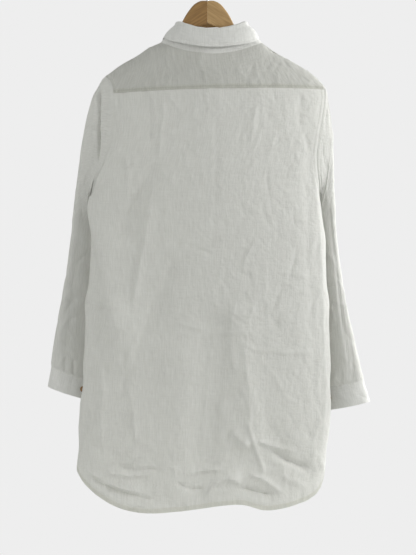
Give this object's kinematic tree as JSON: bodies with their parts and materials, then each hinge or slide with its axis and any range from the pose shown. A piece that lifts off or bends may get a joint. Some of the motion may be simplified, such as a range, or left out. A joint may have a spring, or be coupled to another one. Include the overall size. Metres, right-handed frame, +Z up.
{
  "type": "linen shirt dress on wooden hanger",
  "caption": "Loose linen shirt dress with a fold-over collar, back yoke, long cuffed sleeves and a curved hem, hanging on a contoured wooden hanger.",
  "frame": {"origin": "inside of the hook's top, where a rail carries the hanger", "axes": "+Z up, +Y towards the garment's front, +X towards the wearer's right"},
  "size_m": [0.605, 0.168, 1.0088],
  "materials": {
    "linen": "plain-woven undyed linen, washed",
    "horn": "polished horn",
    "wood": "clear satin lacquer",
    "steel": "bright wire"
  },
  "bodies": {
    "root": {"back_panel": "linen", "back_yoke": "linen", "front_left": "linen", "front_right": "linen", "button_band": "linen", "collar_stand": "linen", "collar_leaf": "linen", "sleeve_left": "linen", "sleeve_right": "linen", "cuff_left": "linen", "cuff_right": "linen", "button_front_1": "horn", "button_front_2": "horn", "button_front_3": "horn", "button_front_4": "horn", "button_front_5": "horn", "button_front_6": "horn", "button_front_7": "horn", "button_front_8": "horn", "button_stand": "horn", "button_cuff_left": "horn", "button_cuff_right": "horn", "hanger_arm_left": "wood", "hanger_arm_right": "wood", "hanger_hook": "steel"}
  },
  "joints": []
}
